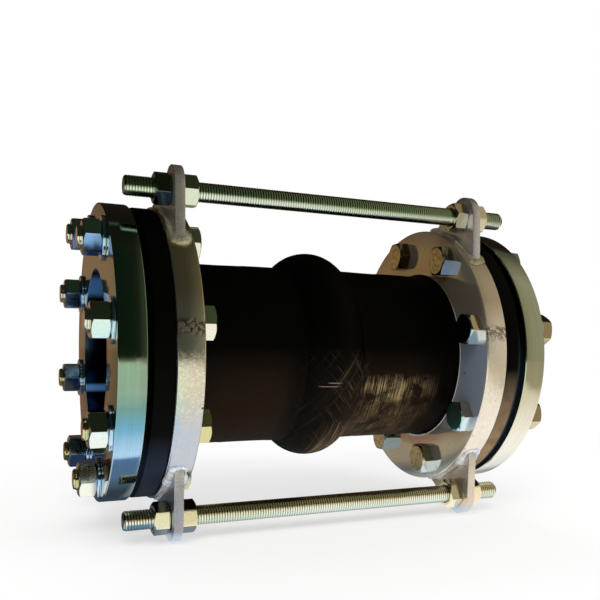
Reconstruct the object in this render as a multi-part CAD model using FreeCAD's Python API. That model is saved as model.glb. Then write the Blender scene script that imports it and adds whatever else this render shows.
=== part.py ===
import FreeCAD, Part
import math
import os
from FreeCAD import Vector

# Single sphere rubber pipe joint with limit rods, in millimetres.
# The pipe axis is the X axis. X = 0 is the outer face of the left mating flange, where one pipe
# comes in, and the right mating flange is the mirror image at the other end. Z is up.
# Angles round the pipe are measured about X, from +Y towards +Z.

# Whole joint
overall_length = 430.0

# Bolt circle of all the flanges, and how far their rim lies outside it
bolt_circle_diameter = 240.0
bolt_edge_distance = 22.5
bolt_count = 8
first_bolt_angle = 30.0

# Mating flanges, slipped on the pipe and welded to it
mating_flange_thickness = 24.0
pipe_bore_diameter = 161.0
mating_rim_chamfer = 1.0

# Rubber body, moulded in one piece with its two flanges
rubber_rim_inset = 2.0
rubber_flange_thickness = 24.0
sealing_face_inset = 6.5
sealing_face_height = 5.0
sealing_face_round = 4.0
rubber_rim_round = 2.0
tube_diameter = 183.0
tube_wall = 16.5
neck_round = 4.0
sphere_height = 16.5
sphere_crown_radius = 37.0
sphere_root_radius = 3.0

# Backing flanges, steel rings behind the rubber flanges
backing_flange_thickness = 24.0
backing_bore_clearance = 1.0
backing_neck_clearance = 1.0
backing_rim_chamfer = 1.5

# Flange bolts, M20, heads inward and nuts outward
bolt_diameter = 20.0
bolt_hole_clearance = 1.0
bolt_head_height = 12.5
bolt_hex_width = 30.0
bolt_nut_height = 16.0
bolt_thread_end = 4.0
bolt_end_chamfer = 1.5
washer_diameter = 40.0
washer_thickness = 3.0
washer_hole_clearance = 0.5

# Limit rods, M18, each held by two nuts at either end. The upper and lower rods stand a few
# degrees off thirds of the circle, as their ears were welded.
rod_angles = {"rear": 0.0, "upper": 117.0, "lower": 241.0}
rod_rise = 25.0
rod_diameter = 18.0
rod_stick_out = 25.5
rod_left_chamfer = 1.5
rod_right_chamfer = 3.5
rod_hole_clearance = 1.0
rod_hex_width = 27.0
rod_nut_height = 15.0
thread_clearance = 0.05

# How far each rod nut is turned from having flats up and down, where its tightening left it
rod_nut_turns = {
    "left_outer": {"rear": 5.0, "upper": 18.0, "lower": 26.0},
    "left_inner": {"rear": 25.0, "upper": 0.0, "lower": 24.0},
    "right_inner": {"rear": 10.0, "upper": -10.0, "lower": 15.0},
    "right_outer": {"rear": 20.0, "upper": 0.0, "lower": 28.0},
}

# Ears, plates welded across the rim of the backing flanges, a little outward of its middle
ear_thickness = 9.0
ear_offset = 1.0
ear_base_width = 86.0
ear_tip_radius = 22.0
weld_leg = 4.5

# Hexagons: their chamfer circle is this share of the width over flats
hex_chamfer_share = 0.95
hex_chamfer_angle = 30.0

# Stations along the pipe at the left end
pipe_axis = Vector(1, 0, 0)
sealing_station = mating_flange_thickness
backing_station = sealing_station + rubber_flange_thickness
inner_station = backing_station + backing_flange_thickness
middle_station = overall_length / 2
ear_station = backing_station + (backing_flange_thickness - ear_thickness) / 2 - ear_offset
outer_rod_nut_station = ear_station - rod_nut_height
inner_rod_nut_station = ear_station + ear_thickness
rod_station = outer_rod_nut_station - rod_stick_out

# Radii that several pieces share
bolt_circle_radius = bolt_circle_diameter / 2
flange_radius = bolt_circle_radius + bolt_edge_distance
rubber_rim_radius = flange_radius - rubber_rim_inset
tube_radius = tube_diameter / 2
tube_bore_radius = tube_radius - tube_wall
bolt_radius = bolt_diameter / 2
bolt_hole_radius = bolt_radius + bolt_hole_clearance
rod_radius = rod_diameter / 2
rod_circle_radius = flange_radius + rod_rise

bolt_angles = [first_bolt_angle + place * 360.0 / bolt_count for place in range(bolt_count)]


def turned(shape, angle):
    """The shape carried round the pipe axis."""
    copy = shape.copy()
    copy.rotate(Vector(0, 0, 0), pipe_axis, angle)
    return copy


def mirrored(shape):
    """The same piece at the other end of the joint."""
    return shape.mirror(Vector(middle_station, 0, 0), pipe_axis)


def round_bar(start, length, radius, offset=0.0):
    """A cylinder along the pipe, its axis the offset away in Y."""
    return Part.makeCylinder(radius, length, Vector(start, offset, 0), pipe_axis)


def revolved(edges):
    """A closed outline in the XY plane, revolved about the pipe axis."""
    face = Part.Face(Part.Wire(edges))
    return face.revolve(Vector(0, 0, 0), pipe_axis, 360)


def outline(points):
    """Straight edges through the points, closed."""
    corners = [Vector(along, out, 0) for along, out in points]
    return [Part.makeLine(a, b) for a, b in zip(corners, corners[1:] + corners[:1])]


def ring(start, length, bore_radius, outer_radius, bore_chamfers, rim_chamfer):
    """A flat ring with a chamfered rim. bore_chamfers are for its start, 0 if sharp, and its end."""
    end = start + length
    first, last = bore_chamfers
    points = [
        (start, bore_radius + first),
        (start, outer_radius - rim_chamfer),
        (start + rim_chamfer, outer_radius),
        (end - rim_chamfer, outer_radius),
        (end, outer_radius - rim_chamfer),
        (end, bore_radius + last),
        (end - last, bore_radius),
    ]
    if first > 0:
        points.append((start + first, bore_radius))
    return revolved(outline(points))


def drilled(shape, start, length):
    """The shape with the flange's bolt holes through it."""
    hole = round_bar(start, length, bolt_hole_radius, bolt_circle_radius)
    return shape.cut(Part.makeCompound([turned(hole, angle) for angle in bolt_angles]))


def bar_with_chamfers(start, length, radius, first_chamfer, last_chamfer):
    """A round bar on the pipe axis with its ends chamfered."""
    end = start + length
    points = [(start, 0), (start, radius - first_chamfer)]
    if first_chamfer > 0:
        points.append((start + first_chamfer, radius))
    if last_chamfer > 0:
        points.append((end - last_chamfer, radius))
    points += [(end, radius - last_chamfer), (end, 0)]
    return revolved(outline(points))


def hexagon(start, length, width, both_ends):
    """A hexagonal block along the pipe axis, flats up and down, its corners cut back by a cone."""
    corner = width / math.sqrt(3)
    points = [
        Vector(start, corner * math.cos(math.radians(turn)), corner * math.sin(math.radians(turn)))
        for turn in range(0, 360, 60)
    ]
    prism = Part.Face(Part.makePolygon(points + points[:1])).extrude(Vector(length, 0, 0))
    drop = corner - hex_chamfer_share * width / 2
    run = drop * math.tan(math.radians(hex_chamfer_angle))
    end = start + length
    cone = [(start, 0), (start, corner)]
    if both_ends:
        cone = [(start, 0), (start, corner - drop), (start + run, corner)]
    cone += [(end - run, corner), (end, corner - drop), (end, 0)]
    return prism.common(revolved(outline(cone)))


def nut(start, height, width, thread_radius):
    """A hexagon nut on the pipe axis. Its bore clears the thread's crests a little."""
    block = hexagon(start, height, width, both_ends=True)
    return block.cut(round_bar(start, height, thread_radius + thread_clearance))


def on_circle(shape, radius, angle):
    """The shape set on a circle round the pipe, kept level as it goes round."""
    copy = shape.copy()
    turn = math.radians(angle)
    copy.translate(Vector(0, radius * math.cos(turn), radius * math.sin(turn)))
    return copy


def bolt_group(shape):
    """One copy of the shape at each flange bolt."""
    return Part.makeCompound([on_circle(shape, bolt_circle_radius, a) for a in bolt_angles])


def on_rod(shape, place):
    """The shape set on one limit rod's axis."""
    return on_circle(shape, rod_circle_radius, rod_angles[place])


def make_mating_flange():
    """Flat slip-on flange. Its pipe bore is sharp at the mouth, where the weld goes."""
    body = ring(
        0,
        mating_flange_thickness,
        pipe_bore_diameter / 2,
        flange_radius,
        (0, mating_rim_chamfer),
        mating_rim_chamfer,
    )
    return drilled(body, 0, mating_flange_thickness)


def make_backing_flange():
    """Steel ring that presses the rubber flange against the mating flange."""
    body = ring(
        backing_station,
        backing_flange_thickness,
        tube_radius + backing_bore_clearance,
        flange_radius,
        (neck_round + backing_neck_clearance, backing_rim_chamfer),
        backing_rim_chamfer,
    )
    return drilled(body, backing_station, backing_flange_thickness)


def sphere_wall(offset):
    """The moulded bulge between the two tubes: a round crown and two roots, the offset inside
    the skin.

    Returns the edges in order from left to right, with the two points where they leave the tubes.
    """
    skin = tube_radius - offset
    crown = sphere_crown_radius - offset
    root = sphere_root_radius + offset
    crown_centre = tube_radius + sphere_height - sphere_crown_radius
    root_centre = tube_radius + sphere_root_radius
    slope = math.acos((root_centre - crown_centre) / (crown + root))
    reach = (crown + root) * math.sin(slope)

    def arc_point(side, centre_along, centre_out, radius, angle):
        along = centre_along + radius * math.sin(angle)
        return Vector(middle_station + side * along, centre_out + radius * math.cos(angle), 0)

    def half(side):
        start = Vector(middle_station + side * reach, skin, 0)
        bend = arc_point(side, reach, root_centre, -root, slope / 2)
        shoulder = arc_point(side, 0, crown_centre, crown, slope)
        return start, bend, shoulder

    left_start, left_bend, left_shoulder = half(-1)
    right_start, right_bend, right_shoulder = half(1)
    top = Vector(middle_station, crown_centre + crown, 0)
    edges = [
        Part.Arc(left_start, left_bend, left_shoulder).toShape(),
        Part.Arc(left_shoulder, top, right_shoulder).toShape(),
        Part.Arc(right_shoulder, right_bend, right_start).toShape(),
    ]
    return edges, left_start, right_start


def corner_arc(start, end, centre, radius, direction):
    """A quarter round between two points; direction is the way its middle lies from the centre."""
    middle = centre + Vector(*direction).normalize() * radius
    return Part.Arc(start, middle, end).toShape()


def rubber_flange_edges():
    """Outline of the left rubber flange, from the tube's bore round to the tube's skin."""
    face_radius = rubber_rim_radius - sealing_face_inset
    step = sealing_station + sealing_face_height
    back = backing_station

    def at(along, out):
        return Vector(along, out, 0)

    bore = at(sealing_station, tube_bore_radius)
    face_end = at(sealing_station, face_radius)
    step_top = at(step - sealing_face_round, face_radius)
    step_end = at(step, face_radius + sealing_face_round)
    rim_start = at(step, rubber_rim_radius - rubber_rim_round)
    rim_left = at(step + rubber_rim_round, rubber_rim_radius)
    rim_right = at(back - rubber_rim_round, rubber_rim_radius)
    back_top = at(back, rubber_rim_radius - rubber_rim_round)
    neck_top = at(back, tube_radius + neck_round)
    neck_end = at(back + neck_round, tube_radius)
    edges = [
        Part.makeLine(bore, face_end),
        Part.makeLine(face_end, step_top),
        corner_arc(step_top, step_end, at(step_top.x, step_end.y), sealing_face_round, (1, -1, 0)),
        Part.makeLine(step_end, rim_start),
        corner_arc(rim_start, rim_left, at(rim_left.x, rim_start.y), rubber_rim_round, (-1, 1, 0)),
        Part.makeLine(rim_left, rim_right),
        corner_arc(rim_right, back_top, at(rim_right.x, back_top.y), rubber_rim_round, (1, 1, 0)),
        Part.makeLine(back_top, neck_top),
        corner_arc(neck_top, neck_end, at(neck_end.x, neck_top.y), neck_round, (-1, -1, 0)),
    ]
    return edges, bore, neck_end


def make_rubber_body():
    """Tube, bulge and both flanges, moulded as one piece with a wall of even thickness."""
    left_edges, left_bore, left_neck = rubber_flange_edges()
    right_edges = [mirrored(edge) for edge in left_edges]
    right_bore = Vector(overall_length - left_bore.x, left_bore.y, 0)
    right_neck = Vector(overall_length - left_neck.x, left_neck.y, 0)
    skin_edges, skin_left, skin_right = sphere_wall(0.0)
    bore_edges, bore_left, bore_right = sphere_wall(tube_wall)
    tubes = [
        Part.makeLine(left_neck, skin_left),
        Part.makeLine(skin_right, right_neck),
        Part.makeLine(left_bore, bore_left),
        Part.makeLine(bore_right, right_bore),
    ]
    edges = left_edges + right_edges + skin_edges + bore_edges + tubes
    body = revolved(Part.__sortEdges__(edges))
    left_drilled = drilled(body, sealing_station, rubber_flange_thickness)
    right_start = overall_length - backing_station
    return drilled(left_drilled, right_start, rubber_flange_thickness)


def make_ear():
    """Ear plate standing out along +Y, with its rod hole and the weld along its foot."""
    half_base = ear_base_width / 2
    foot = math.sqrt(flange_radius ** 2 - half_base ** 2)
    tip = Vector(ear_station, rod_circle_radius, 0)
    side = Vector(ear_station, foot, half_base)
    reach = math.hypot(rod_circle_radius - foot, half_base)
    to_side = math.atan2(half_base, rod_circle_radius - foot)
    swing = math.acos(ear_tip_radius / reach)
    touch = math.pi - to_side - swing

    def tangent(sign):
        out = rod_circle_radius + ear_tip_radius * math.cos(touch)
        return Vector(ear_station, out, sign * ear_tip_radius * math.sin(touch))

    upper_touch = tangent(1)
    lower_touch = tangent(-1)
    other_side = Vector(ear_station, foot, -half_base)
    foot_middle = Vector(ear_station, flange_radius, 0)
    edges = [
        Part.Arc(other_side, foot_middle, side).toShape(),
        Part.makeLine(side, upper_touch),
        Part.Arc(upper_touch, tip + Vector(0, ear_tip_radius, 0), lower_touch).toShape(),
        Part.makeLine(lower_touch, other_side),
    ]
    plate = Part.Face(Part.Wire(edges)).extrude(Vector(ear_thickness, 0, 0))
    hole = round_bar(
        ear_station, ear_thickness, rod_radius + rod_hole_clearance, rod_circle_radius
    )
    half_angle = math.degrees(math.asin((half_base + weld_leg) / flange_radius))
    weld_end = ear_station + ear_thickness
    weld_points = [
        (ear_station - weld_leg, flange_radius),
        (ear_station, flange_radius + weld_leg),
        (weld_end, flange_radius + weld_leg),
        (weld_end + weld_leg, flange_radius),
    ]
    section = Part.Face(Part.Wire(outline(weld_points)))
    weld = section.revolve(Vector(0, 0, 0), pipe_axis, 2 * half_angle)
    return plate.fuse(turned(weld, -half_angle)).removeSplitter().cut(hole)


def make_tie_rod():
    """Threaded rod on the pipe axis, plain here: the thread is fine."""
    length = overall_length - 2 * rod_station
    return bar_with_chamfers(rod_station, length, rod_radius, rod_left_chamfer, rod_right_chamfer)


def make_flange_bolt():
    """Hexagon head bolt on the pipe axis, its head on the backing flange."""
    end = -washer_thickness - bolt_nut_height - bolt_thread_end
    shank = bar_with_chamfers(end, inner_station - end, bolt_radius, bolt_end_chamfer, 0)
    head = hexagon(inner_station, bolt_head_height, bolt_hex_width, both_ends=False)
    return shank.fuse(head)


def make_washer():
    """Flat washer between a flange nut and the mating flange."""
    plate = round_bar(-washer_thickness, washer_thickness, washer_diameter / 2)
    hole_radius = bolt_radius + washer_hole_clearance
    return plate.cut(round_bar(-washer_thickness, washer_thickness, hole_radius))


def make_flange_nut():
    """Nut of a flange bolt, on its washer."""
    start = -washer_thickness - bolt_nut_height
    return nut(start, bolt_nut_height, bolt_hex_width, bolt_radius)


def make_rod_nuts(group, start):
    """The three limit rods' nuts against one face of the ears, at the left end."""
    piece = nut(start, rod_nut_height, rod_hex_width, rod_radius)
    turns = rod_nut_turns[group]
    return Part.makeCompound([on_rod(turned(piece, turns[place]), place) for place in rod_angles])


def write(name, shape):
    shape.exportStep(os.path.join("parts", name + ".step"))


def write_pair(name, shape):
    """The piece at the left end, and its mirror image at the right end."""
    write("left_" + name, shape)
    write("right_" + name, mirrored(shape))


def main():
    os.makedirs("parts", exist_ok=True)
    write("rubber_body", make_rubber_body())
    write_pair("mating_flange", make_mating_flange())
    write_pair("backing_flange", make_backing_flange())

    ear = make_ear()
    tie_rod = make_tie_rod()
    for place in rod_angles:
        write_pair("ear_" + place, turned(ear, rod_angles[place]))
        write("tie_rod_" + place, on_rod(tie_rod, place))

    write("left_outer_rod_nuts", make_rod_nuts("left_outer", outer_rod_nut_station))
    write("left_inner_rod_nuts", make_rod_nuts("left_inner", inner_rod_nut_station))
    write("right_inner_rod_nuts", mirrored(make_rod_nuts("right_inner", inner_rod_nut_station)))
    write("right_outer_rod_nuts", mirrored(make_rod_nuts("right_outer", outer_rod_nut_station)))
    write_pair("flange_bolts", bolt_group(make_flange_bolt()))
    write_pair("flange_washers", bolt_group(make_washer()))
    write_pair("flange_nuts", bolt_group(make_flange_nut()))


main()
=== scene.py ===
import math

import bmesh
import bpy
from mathutils import Matrix, Vector, noise


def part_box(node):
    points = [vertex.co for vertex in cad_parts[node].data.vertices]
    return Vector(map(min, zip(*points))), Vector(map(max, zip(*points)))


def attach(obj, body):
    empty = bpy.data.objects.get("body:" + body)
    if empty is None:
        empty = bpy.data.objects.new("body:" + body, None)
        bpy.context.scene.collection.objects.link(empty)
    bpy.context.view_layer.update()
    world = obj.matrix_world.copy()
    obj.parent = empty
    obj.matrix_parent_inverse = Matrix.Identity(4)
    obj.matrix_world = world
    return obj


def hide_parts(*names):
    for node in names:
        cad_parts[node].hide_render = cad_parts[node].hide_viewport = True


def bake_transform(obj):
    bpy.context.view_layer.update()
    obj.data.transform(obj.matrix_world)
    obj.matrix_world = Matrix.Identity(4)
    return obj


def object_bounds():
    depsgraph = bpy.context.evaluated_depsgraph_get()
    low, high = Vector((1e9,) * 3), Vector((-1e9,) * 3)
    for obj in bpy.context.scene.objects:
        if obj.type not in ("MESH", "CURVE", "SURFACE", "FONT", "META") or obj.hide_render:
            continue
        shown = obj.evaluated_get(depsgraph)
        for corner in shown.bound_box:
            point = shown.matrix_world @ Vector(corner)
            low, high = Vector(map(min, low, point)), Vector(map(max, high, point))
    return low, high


# Single sphere rubber joint, dressed around its frame. Metres, the pipe along X, Z up.

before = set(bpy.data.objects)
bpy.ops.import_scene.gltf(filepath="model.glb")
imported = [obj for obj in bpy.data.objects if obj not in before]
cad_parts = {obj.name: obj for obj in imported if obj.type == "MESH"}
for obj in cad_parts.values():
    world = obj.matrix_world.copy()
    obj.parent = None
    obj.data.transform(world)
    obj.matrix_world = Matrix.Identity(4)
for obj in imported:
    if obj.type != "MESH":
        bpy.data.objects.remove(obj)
cad_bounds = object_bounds()


def station(node, side):
    """Where a node starts (0) or ends (1) along the pipe."""
    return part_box(node)[side].x


# Sizes along the pipe, from the frame
left_face = station("left_mating_flange", 0)
sealing_station = station("left_mating_flange", 1)
backing_station = station("left_backing_flange", 0)
inner_station = station("left_backing_flange", 1)
right_face = station("right_mating_flange", 1)
middle = (left_face + right_face) / 2
head_end = station("left_flange_bolts", 1)
bolt_end = station("left_flange_bolts", 0)
nut_start = station("left_flange_nuts", 0)
nut_end = station("left_flange_nuts", 1)
outer_rod_nut_start = station("left_outer_rod_nuts", 0)
outer_rod_nut_end = station("left_outer_rod_nuts", 1)
inner_rod_nut_start = station("left_inner_rod_nuts", 0)
inner_rod_nut_end = station("left_inner_rod_nuts", 1)
rod_start = station("tie_rod_upper", 0)
rod_end = station("tie_rod_upper", 1)

# Radii, from the frame
flange_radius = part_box("left_mating_flange")[1].y
rod_low, rod_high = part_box("tie_rod_rear")
rod_circle_radius = (rod_low.y + rod_high.y) / 2
rod_radius = (rod_high.y - rod_low.y) / 2

# Sizes of the pieces themselves
pipe_bore_radius = 0.0805
bolt_circle_radius = 0.120
bolt_count = 8
first_bolt_angle = 30.0
bolt_radius = 0.010
bolt_hole_radius = 0.011
bolt_hex_width = 0.030
washer_radius = 0.020
washer_hole_radius = 0.0105
rod_hex_width = 0.027
rod_left_chamfer = 0.0015
rod_right_chamfer = 0.0035
rod_angles = {"rear": 0.0, "upper": 117.0, "lower": 241.0}
rod_nut_turns = {
    "left_outer": {"rear": 5.0, "upper": 18.0, "lower": 26.0},
    "left_inner": {"rear": 25.0, "upper": 0.0, "lower": 24.0},
    "right_inner": {"rear": 10.0, "upper": -10.0, "lower": 15.0},
    "right_outer": {"rear": 20.0, "upper": 0.0, "lower": 28.0},
}
tube_radius = 0.0915
tube_wall = 0.0165
sphere_height = 0.0165
sphere_crown_radius = 0.037
sphere_root_radius = 0.003
rubber_rim_radius = 0.1405
sealing_face_radius = 0.134
sealing_face_height = 0.005
thread_pitch = 0.0025

bolt_angles = [first_bolt_angle + 360.0 * place / bolt_count for place in range(bolt_count)]


# Mesh helpers

def mesh_object(name, vertices, faces, sharp=32.0):
    """A smooth-shaded object whose edges past the sharp angle stay crisp."""
    mesh = bpy.data.meshes.new(name)
    mesh.from_pydata(vertices, [], faces)
    return finished(name, mesh, sharp)


def finished(name, mesh, sharp=32.0):
    """Cleans the mesh, points its faces outward and links an object for it."""
    work = bmesh.new()
    work.from_mesh(mesh)
    bmesh.ops.remove_doubles(work, verts=work.verts, dist=1e-7)
    bmesh.ops.recalc_face_normals(work, faces=work.faces)
    work.to_mesh(mesh)
    work.free()
    mesh.polygons.foreach_set("use_smooth", [True] * len(mesh.polygons))
    mesh.set_sharp_from_angle(angle=math.radians(sharp))
    made = bpy.data.objects.new(name, mesh)
    bpy.context.scene.collection.objects.link(made)
    return made


def applied(made, sharp=32.0):
    """The object again, with its modifiers applied."""
    bpy.context.view_layer.update()
    graph = bpy.context.evaluated_depsgraph_get()
    mesh = bpy.data.meshes.new_from_object(made.evaluated_get(graph))
    name = made.name
    bpy.data.objects.remove(made)
    return finished(name, mesh, sharp)


def lathed(name, profile, segments=256, shift=None):
    """A closed outline of (along, out) points revolved about the pipe axis.

    shift gives the change in radius at a point, from its station, its radius and its angle.
    """
    vertices = []
    for column in range(segments):
        turn = 2 * math.pi * column / segments
        for along, out in profile:
            radius = out + (shift(along, out, turn) if shift else 0)
            vertices.append((along, radius * math.cos(turn), radius * math.sin(turn)))
    count = len(profile)
    faces = []
    for column in range(segments):
        beside = (column + 1) % segments
        for row in range(count):
            after = (row + 1) % count
            faces.append((column * count + row, column * count + after,
                          beside * count + after, beside * count + row))
    return mesh_object(name, vertices, faces)


def rounded(points, radii, steps=4):
    """A closed outline with each corner rounded by its radius."""
    result = []
    for index, radius in enumerate(radii):
        here = Vector(points[index])
        before = (Vector(points[index - 1]) - here).normalized()
        after = (Vector(points[(index + 1) % len(points)]) - here).normalized()
        if radius == 0:
            result.append(tuple(here))
            continue
        half = before.angle(after) / 2
        reach = radius / math.tan(half)
        centre = here + (before + after).normalized() * radius / math.sin(half)
        start = here + before * reach - centre
        end = here + after * reach - centre
        for step in range(steps + 1):
            share = step / steps
            arm = start.lerp(end, share).normalized() * radius
            result.append(tuple(centre + arm))
    return result


def turned(made, degrees):
    made.data.transform(Matrix.Rotation(math.radians(degrees), 4, "X"))
    return made


def moved(made, along, across, up):
    made.data.transform(Matrix.Translation((along, across, up)))
    return made


def copied(made, name):
    copy = bpy.data.objects.new(name, made.data.copy())
    bpy.context.scene.collection.objects.link(copy)
    return copy


def mirrored(made, name):
    """The same piece at the other end of the joint."""
    copy = copied(made, name)
    copy.data.transform(Matrix.Translation((2 * middle, 0, 0)) @ Matrix.Scale(-1, 4, (1, 0, 0)))
    copy.data.flip_normals()
    return copy


def joined(name, pieces):
    """One object from several."""
    work = bmesh.new()
    for piece in pieces:
        work.from_mesh(piece.data)
    mesh = bpy.data.meshes.new(name)
    work.to_mesh(mesh)
    work.free()
    for piece in pieces:
        bpy.data.objects.remove(piece)
    made = bpy.data.objects.new(name, mesh)
    bpy.context.scene.collection.objects.link(made)
    return made


def on_circle(made, radius, degrees):
    """Shifts the piece from the pipe axis to its place on a circle, kept level."""
    turn = math.radians(degrees)
    return moved(made, 0, radius * math.cos(turn), radius * math.sin(turn))


def at_bolts(name, made, turns=(0,) * bolt_count):
    """One copy at each flange bolt, turned a little as fitters leave them."""
    group = []
    for angle, turn in zip(bolt_angles, turns):
        copy = turned(copied(made, "copy"), turn)
        group.append(on_circle(copy, bolt_circle_radius, angle))
    bpy.data.objects.remove(made)
    return joined(name, group)


def drilled(made, start, length):
    """Cuts the bolt holes through a flange."""
    margin = 0.002
    work = bmesh.new()
    for angle in bolt_angles:
        turn = math.radians(angle)
        place = Matrix.Translation((
            start + length / 2,
            bolt_circle_radius * math.cos(turn),
            bolt_circle_radius * math.sin(turn),
        ))
        bmesh.ops.create_cone(
            work,
            cap_ends=True,
            segments=48,
            radius1=bolt_hole_radius,
            radius2=bolt_hole_radius,
            depth=length + 2 * margin,
            matrix=place @ Matrix.Rotation(math.pi / 2, 4, "Y"),
        )
    mesh = bpy.data.meshes.new("cutter")
    work.to_mesh(mesh)
    work.free()
    cutter = bpy.data.objects.new("cutter", mesh)
    bpy.context.scene.collection.objects.link(cutter)
    cut = made.modifiers.new("holes", "BOOLEAN")
    cut.operation = "DIFFERENCE"
    cut.solver = "EXACT"
    cut.object = cutter
    made = applied(made)
    bpy.data.objects.remove(cutter)
    return made


# Fasteners

def hexagon_columns(width, corner_round):
    """Points round a hexagon with slightly rounded corners, corners towards +Y and -Y."""
    columns = []
    inner = (width / 2 - corner_round) / math.cos(math.pi / 6)
    for corner in range(6):
        facing = corner * math.pi / 3
        for step in range(5):
            swing = facing + (step / 4 - 0.5) * math.pi / 3
            columns.append((
                inner * math.cos(facing) + corner_round * math.cos(swing),
                inner * math.sin(facing) + corner_round * math.sin(swing),
            ))
        middle_of_flat = facing + math.pi / 6
        half = inner * math.sin(math.pi / 6)
        for step in range(-3, 4):
            slide = -half * step / 4
            columns.append((
                width / 2 * math.cos(middle_of_flat) + slide * math.sin(middle_of_flat),
                width / 2 * math.sin(middle_of_flat) - slide * math.cos(middle_of_flat),
            ))
    return columns


def hexagon_block(name, start, end, width, bore, both_ends):
    """A hexagon nut, or with no bore a bolt head whose face is at its end."""
    corner_round = 0.0007
    chamfer_radius = 0.93 * width / 2
    chamfer_slope = math.tan(math.radians(30))
    countersink = 0.0009
    columns = hexagon_columns(width, corner_round)
    vertices = []
    for across, up in columns:
        reach = math.hypot(across, up)
        drop = (reach - chamfer_radius) * chamfer_slope
        rows = []
        if bore:
            rows += [(start + countersink, bore), (start, bore + countersink)]
        else:
            rows += [(start, 0)]
        if both_ends:
            rows += [(start, chamfer_radius), (start + drop, reach)]
        else:
            rows += [(start, reach), (start + 0.0001, reach)]
        rows += [(end - drop, reach), (end, chamfer_radius)]
        if bore:
            rows += [(end, bore + countersink), (end - countersink, bore)]
        else:
            rows += [(end, chamfer_radius * 0.5), (end, 0)]
        for along, out in rows:
            vertices.append((along, across / reach * out, up / reach * out))
    count = len(rows)
    faces = []
    total = len(columns)
    closing = count if bore else count - 1
    for column in range(total):
        beside = (column + 1) % total
        for row in range(closing):
            after = (row + 1) % count
            faces.append((column * count + row, column * count + after,
                          beside * count + after, beside * count + row))
    return mesh_object(name, vertices, faces, sharp=24.0)


def threaded_bar(name, start, end, crest, segments=28, chamfers=(0.0015, 0.0015)):
    """A bar along the pipe axis with a helical rolled thread and chamfered ends."""
    first, last = chamfers
    root = crest - 0.27 * thread_pitch
    profile = [(0.00, root), (0.08, root), (0.28, crest), (0.72, crest), (0.92, root)]
    turns = math.ceil((end - start) / thread_pitch) + 2
    columns = turns * segments
    vertices = []
    for column in range(columns + 1):
        turn = 2 * math.pi * column / segments
        base = start + (column / segments - 1) * thread_pitch
        for share, out in profile:
            along = base + share * thread_pitch
            radius = min(out, crest - first + max(along - start, 0), crest - last + max(end - along, 0))
            along = min(max(along, start), end)
            vertices.append((along, radius * math.cos(turn), radius * math.sin(turn)))
    count = len(profile)
    faces = []
    for column in range(columns):
        for row in range(count - 1):
            a = column * count + row
            faces.append((a, a + 1, a + count + 1, a + count))
        a = column * count + count - 1
        below = (column + segments) * count
        if column + 1 + segments <= columns:
            faces.append((a, below, below + count, a + count))
    made = mesh_object(name, vertices, faces, sharp=20.0)
    core = lathed(name + "_core", [
        (start, 0.0), (start, crest - first), (start + first, root),
        (end - last, root), (end, crest - last), (end, 0.0)], segments=48)
    return joined(name, [made, core])


def flange_bolts():
    head = hexagon_block("head", inner_station, head_end, bolt_hex_width, 0, False)
    shank = lathed("shank", [
        (sealing_station, 0.0), (sealing_station, bolt_radius),
        (inner_station + 0.001, bolt_radius), (inner_station + 0.001, 0.0)], segments=48)
    thread = threaded_bar("thread", bolt_end, sealing_station + 0.001, bolt_radius)
    bolt = joined("bolt", [head, shank, thread])
    return at_bolts("left_bolts", bolt, bolt_turns)


bolt_turns = (2, -3, 1, 4, -2, 3, -1, 2)
left_nut_turns = (-2, 3, -5, -1, 2, 4, 4, -3)
right_nut_turns = (4, -6, 9, 29, 24, -8, 12, 5)


def flange_nuts(name, turns):
    nut = hexagon_block("nut", nut_start, nut_end, bolt_hex_width, bolt_radius + 0.0002, True)
    return at_bolts(name, nut, turns)


def flange_washers():
    thickness = left_face - nut_end
    profile = rounded([
        (nut_end, washer_hole_radius), (nut_end, washer_radius),
        (left_face, washer_radius), (left_face, washer_hole_radius)],
        (0, thickness * 0.2, thickness * 0.2, 0))
    return at_bolts("left_washers", lathed("washer", profile, segments=64))


def rod_nuts(group, start, end):
    """The three limit rods' nuts against one face of the ears, at the left end."""
    nuts = []
    for place, angle in rod_angles.items():
        nut = hexagon_block("nut", start, end, rod_hex_width, rod_radius + 0.0002, True)
        nuts.append(on_circle(turned(nut, rod_nut_turns[group][place]), rod_circle_radius, angle))
    return joined(group + "_rod_nuts_shown", nuts)


# Flanges

def mating_flange():
    edge = 0.001
    profile = rounded([
        (left_face, pipe_bore_radius), (left_face, flange_radius),
        (sealing_station, flange_radius), (sealing_station, pipe_bore_radius)],
        (0.0004, edge, edge, edge))
    return drilled(lathed("left_mating", profile), left_face, sealing_station - left_face)


def backing_flange():
    bore = tube_radius + 0.001
    neck_chamfer = 0.005
    edge = 0.0015
    profile = rounded([
        (backing_station + neck_chamfer, bore), (backing_station, bore + neck_chamfer),
        (backing_station, flange_radius), (inner_station, flange_radius), (inner_station, bore)],
        (0, 0, edge, edge, edge))
    made = lathed("left_backing", profile)
    return drilled(made, backing_station, inner_station - backing_station)


# Rubber body

def arc(centre_along, centre_out, radius, start, end, steps):
    """Points of an arc; angles are from straight outward, towards the right end."""
    points = []
    for step in range(steps + 1):
        angle = start + (end - start) * step / steps
        points.append((centre_along + radius * math.sin(angle),
                       centre_out + radius * math.cos(angle)))
    return points


def sphere_points(inset):
    """The moulded bulge from left to right, the inset inside its skin."""
    crown = sphere_crown_radius - inset
    root = sphere_root_radius + inset
    crown_centre = tube_radius + sphere_height - sphere_crown_radius
    root_centre = tube_radius + sphere_root_radius
    slope = math.acos((root_centre - crown_centre) / (crown + root))
    reach = (crown + root) * math.sin(slope)
    left = arc(middle - reach, root_centre, root, math.pi, math.pi - slope, 6)
    top = arc(middle, crown_centre, crown, -slope, slope, 28)
    right = arc(middle + reach, root_centre, root, math.pi + slope, math.pi, 6)
    return left + top + right


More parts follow.
